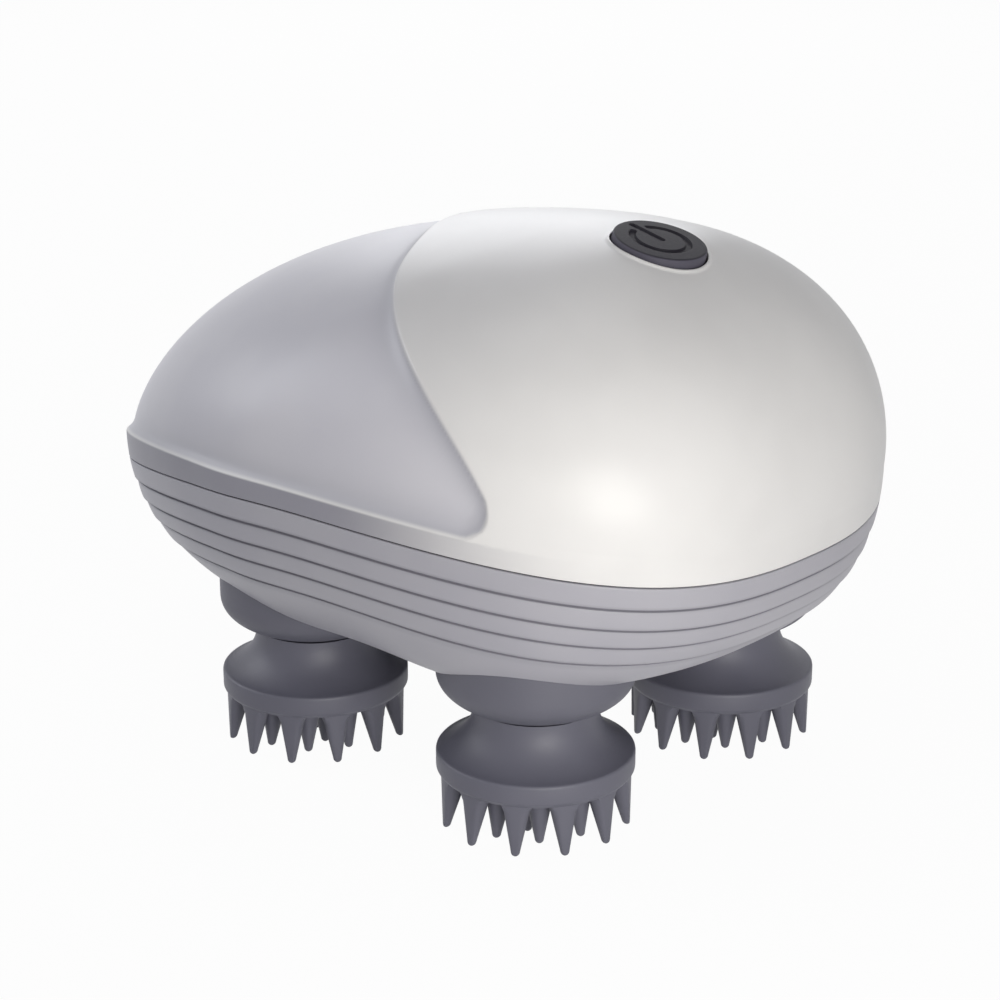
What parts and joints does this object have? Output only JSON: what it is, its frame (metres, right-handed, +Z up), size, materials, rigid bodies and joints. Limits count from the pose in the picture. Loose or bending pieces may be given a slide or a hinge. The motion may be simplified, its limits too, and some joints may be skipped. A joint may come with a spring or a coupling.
{
  "type": "electric pet massager",
  "caption": "Egg-shaped electric massager for pets that stands on its turning spiked heads, with a worm gearbox, a power button on top and a plugged charge port",
  "frame": {"origin": "under the middle of the body, on the plane that the spike tips stand on", "axes": "+X towards the nose with the power button, +Y to the left side, +Z up"},
  "size_m": [0.1181, 0.0872, 0.0765],
  "materials": {
    "cover": "pearl white, semi-gloss",
    "cover_soft": "soft grey-white silicone",
    "housing": "satin grey with a violet cast",
    "cup": "satin dark grey",
    "head_rubber": "soft dark grey silicone",
    "button": "satin, very dark grey",
    "gasket": "matte dark grey",
    "frame_plastic": "natural off-white moulding",
    "ivory_plastic": "natural acetal",
    "black_plastic": "black moulding",
    "board": "green solder mask",
    "cell_wrap": "blue shrink film",
    "steel": "ground steel",
    "screw": "zinc plated",
    "motor_steel": "drawn steel can",
    "plated": "bright plated",
    "brass": "plain brass"
  },
  "bodies": {
    "base": {"top_cover": "cover", "lower_housing": "housing", "seam_gasket": "gasket", "button_seal": "gasket", "switch_body": "black_plastic", "main_board": "board", "board_screws": "screw", "battery_cell": "cell_wrap", "cell_contacts": "plated", "battery_holder": "black_plastic", "gear_tray": "frame_plastic", "gear_deck": "frame_plastic", "gear_bridge": "frame_plastic", "gearbox_screws": "screw", "bridge_screws": "screw", "motor_can": "motor_steel", "motor_end_cap": "black_plastic", "motor_terminals": "brass", "motor_clamp": "plated", "clamp_screws": "screw", "motor_screws": "screw", "worm_bush": "brass", "idler_axles": "steel", "front_left_cup": "cup", "front_right_cup": "cup", "rear_left_cup": "cup", "rear_right_cup": "cup", "shaft_seals": "gasket", "shaft_bushes": "brass", "cup_screws": "screw", "charge_board": "board", "charge_socket": "plated", "socket_tongue": "black_plastic", "charge_board_screws": "screw", "housing_screws": "screw"},
    "front_left": {"front_left_head": "head_rubber", "front_left_hub": "frame_plastic", "front_left_shaft": "steel", "front_left_gear": "ivory_plastic"},
    "front_right": {"front_right_head": "head_rubber", "front_right_hub": "frame_plastic", "front_right_shaft": "steel", "front_right_gear": "ivory_plastic"},
    "rear_left": {"rear_left_head": "head_rubber", "rear_left_hub": "frame_plastic", "rear_left_shaft": "steel", "rear_left_gear": "ivory_plastic"},
    "rear_right": {"rear_right_head": "head_rubber", "rear_right_hub": "frame_plastic", "rear_right_shaft": "steel", "rear_right_gear": "ivory_plastic"},
    "power_button": {"power_button": "button", "switch_plunger": "ivory_plastic"},
    "port_plug": {"port_plug": "cover_soft"},
    "left_idler": {"left_idler_gear": "ivory_plastic"},
    "right_idler": {"right_idler_gear": "ivory_plastic"},
    "motor_rotor": {"motor_shaft": "steel", "worm": "ivory_plastic"}
  },
  "joints": [
    {"name": "front_left_spin", "type": "hinge", "parent": "base", "child": "front_left", "pos_m": [0.0308, 0.01985, 0.012], "axis": [0, 0, 1], "continuous": true},
    {"name": "front_right_spin", "type": "hinge", "parent": "base", "child": "front_right", "pos_m": [0.0308, -0.01985, 0.012], "axis": [0, 0, 1], "continuous": true},
    {"name": "rear_left_spin", "type": "hinge", "parent": "base", "child": "rear_left", "pos_m": [-0.011, 0.01985, 0.012], "axis": [0, 0, 1], "continuous": true},
    {"name": "rear_right_spin", "type": "hinge", "parent": "base", "child": "rear_right", "pos_m": [-0.011, -0.01985, 0.012], "axis": [0, 0, 1], "continuous": true},
    {"name": "left_idler_spin", "type": "hinge", "parent": "base", "child": "left_idler", "pos_m": [0.0099, 0.01985, 0.033], "axis": [0, 0, 1], "continuous": true},
    {"name": "right_idler_spin", "type": "hinge", "parent": "base", "child": "right_idler", "pos_m": [0.0099, -0.01985, 0.033], "axis": [0, 0, 1], "continuous": true},
    {"name": "motor_spin", "type": "hinge", "parent": "base", "child": "motor_rotor", "pos_m": [0.0099, 0, 0.04535], "axis": [1, 0, 0], "continuous": true},
    {"name": "button_press", "type": "slide", "parent": "base", "child": "power_button", "axis": [-0.251, 0, -0.968], "range_m": [0, 0.0006], "stiffness_N_per_m": 1500},
    {"name": "plug_pull", "type": "slide", "parent": "base", "child": "port_plug", "axis": [-0.8969, 0, 0.4422], "range_m": [0, 0.006]}
  ],
  "couplings": [
    {"joint": "rear_right_spin", "follows": "front_right_spin", "ratio": 1},
    {"joint": "front_left_spin", "follows": "front_right_spin", "ratio": -1},
    {"joint": "rear_left_spin", "follows": "front_right_spin", "ratio": -1},
    {"joint": "right_idler_spin", "follows": "front_right_spin", "ratio": -1.1},
    {"joint": "left_idler_spin", "follows": "front_right_spin", "ratio": 1.1},
    {"joint": "motor_spin", "follows": "front_right_spin", "ratio": -33}
  ]
}
